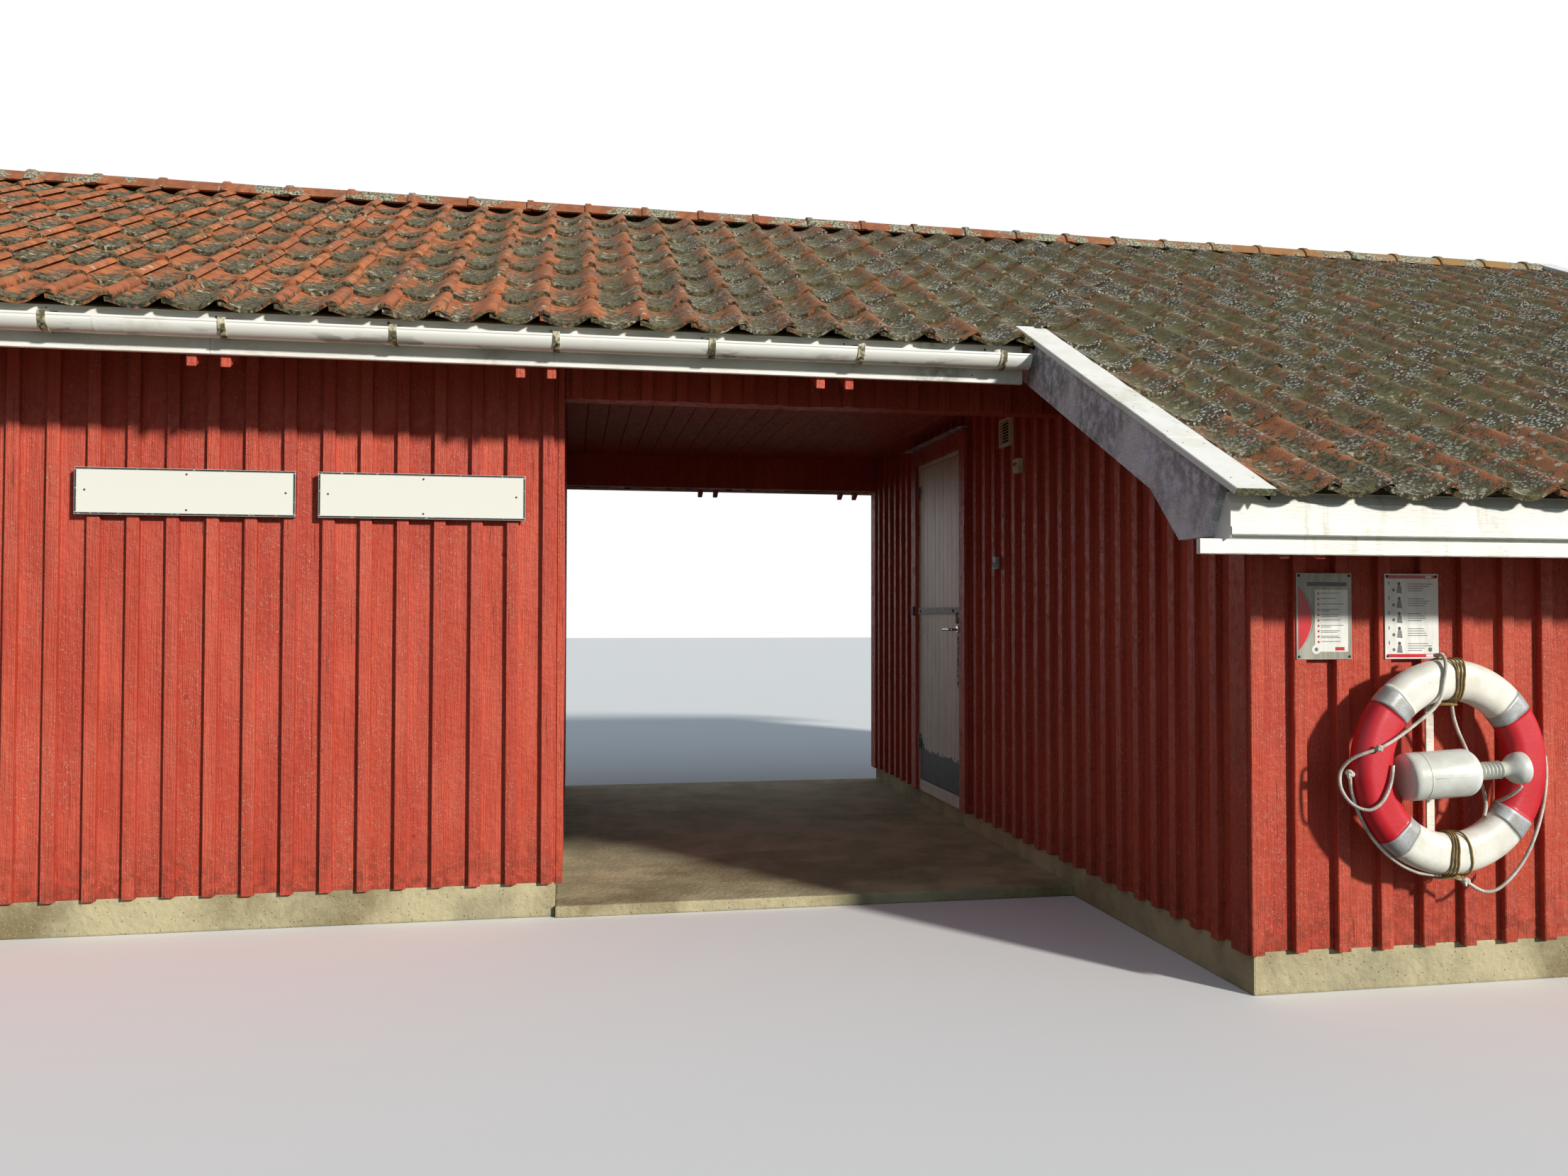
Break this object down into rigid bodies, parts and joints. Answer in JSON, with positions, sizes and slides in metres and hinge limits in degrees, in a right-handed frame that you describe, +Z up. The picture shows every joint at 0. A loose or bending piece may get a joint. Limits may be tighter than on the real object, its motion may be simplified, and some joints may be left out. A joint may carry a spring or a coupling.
{
  "type": "boathouse",
  "caption": "Low timber boathouse: two closed sections and an open passage under one tiled gable roof that runs further down over the section standing out to the front, with a hinged side door.",
  "frame": {"origin": "ground level under the middle of the building, eaves and verges included", "axes": "+X along the front towards the section that stands out, +Y from the front to the back, +Z up"},
  "size_m": [10.98, 6.3, 3.7096],
  "materials": {
    "red_boards": "matte red paint on vertical timber boards, weathered",
    "dark_red_boards": "matte dark red paint on timber, weathered",
    "white_boards": "matte white paint on timber, weathered",
    "raw_boards": "bare sawn timber",
    "concrete": "rough cast concrete",
    "clay": "weathered clay tiles with moss and lichen",
    "steel": "dull zinc-coated steel",
    "white_plastic": "weathered white plastic",
    "cream_plastic": "aged cream plastic",
    "buoy_skin": "white and red plastic, weathered"
  },
  "bodies": {
    "building": {"left_plinth": "concrete", "right_plinth": "concrete", "passage_slab": "concrete", "left_front_wall": "red_boards", "left_rear_wall": "red_boards", "left_gable_wall": "red_boards", "left_passage_wall": "red_boards", "right_front_wall": "red_boards", "right_rear_wall": "red_boards", "right_gable_wall": "red_boards", "side_wall_front": "red_boards", "side_wall_rear": "red_boards", "side_wall_over_door": "red_boards", "front_lintel": "dark_red_boards", "rear_lintel": "dark_red_boards", "passage_ceiling": "dark_red_boards", "rafters_front": "red_boards", "rafters_rear": "red_boards", "roof_deck_front": "raw_boards", "roof_deck_rear": "raw_boards", "tiles_front_left": "clay", "tiles_front_right": "clay", "tiles_rear": "clay", "ridge_tiles": "clay", "left_fascia": "white_boards", "right_fascia": "white_boards", "rear_fascia": "white_boards", "gutter": "white_plastic", "gutter_brackets": "steel", "step_verge_boards": "white_boards", "left_verge_boards": "white_boards", "right_verge_boards": "white_boards", "door_frame": "white_boards", "door_trim": "dark_red_boards", "vent_grille": "cream_plastic", "wall_boxes": "cream_plastic", "name_boards": "white_boards", "notices": "white_plastic", "lifebuoy": "buoy_skin", "grab_line": "white_plastic", "lifebuoy_bracket": "white_plastic", "line_container": "white_plastic"},
    "door": {"door_leaf": "white_boards", "door_bar": "steel"},
    "lever": {"door_lever": "steel"}
  },
  "joints": [
    {"name": "door_hinge", "type": "hinge", "parent": "building", "child": "door", "pos_m": [1.142, 1.28, 0], "axis": [0, 0, -1], "range_deg": [0, 100]},
    {"name": "lever_turn", "type": "hinge", "parent": "door", "child": "lever", "pos_m": [1.152, 0.4995, 1.2125], "axis": [-1, 0, 0], "range_deg": [0, 45], "stiffness_Nm_per_rad": 1, "springref_deg": -28.65}
  ]
}
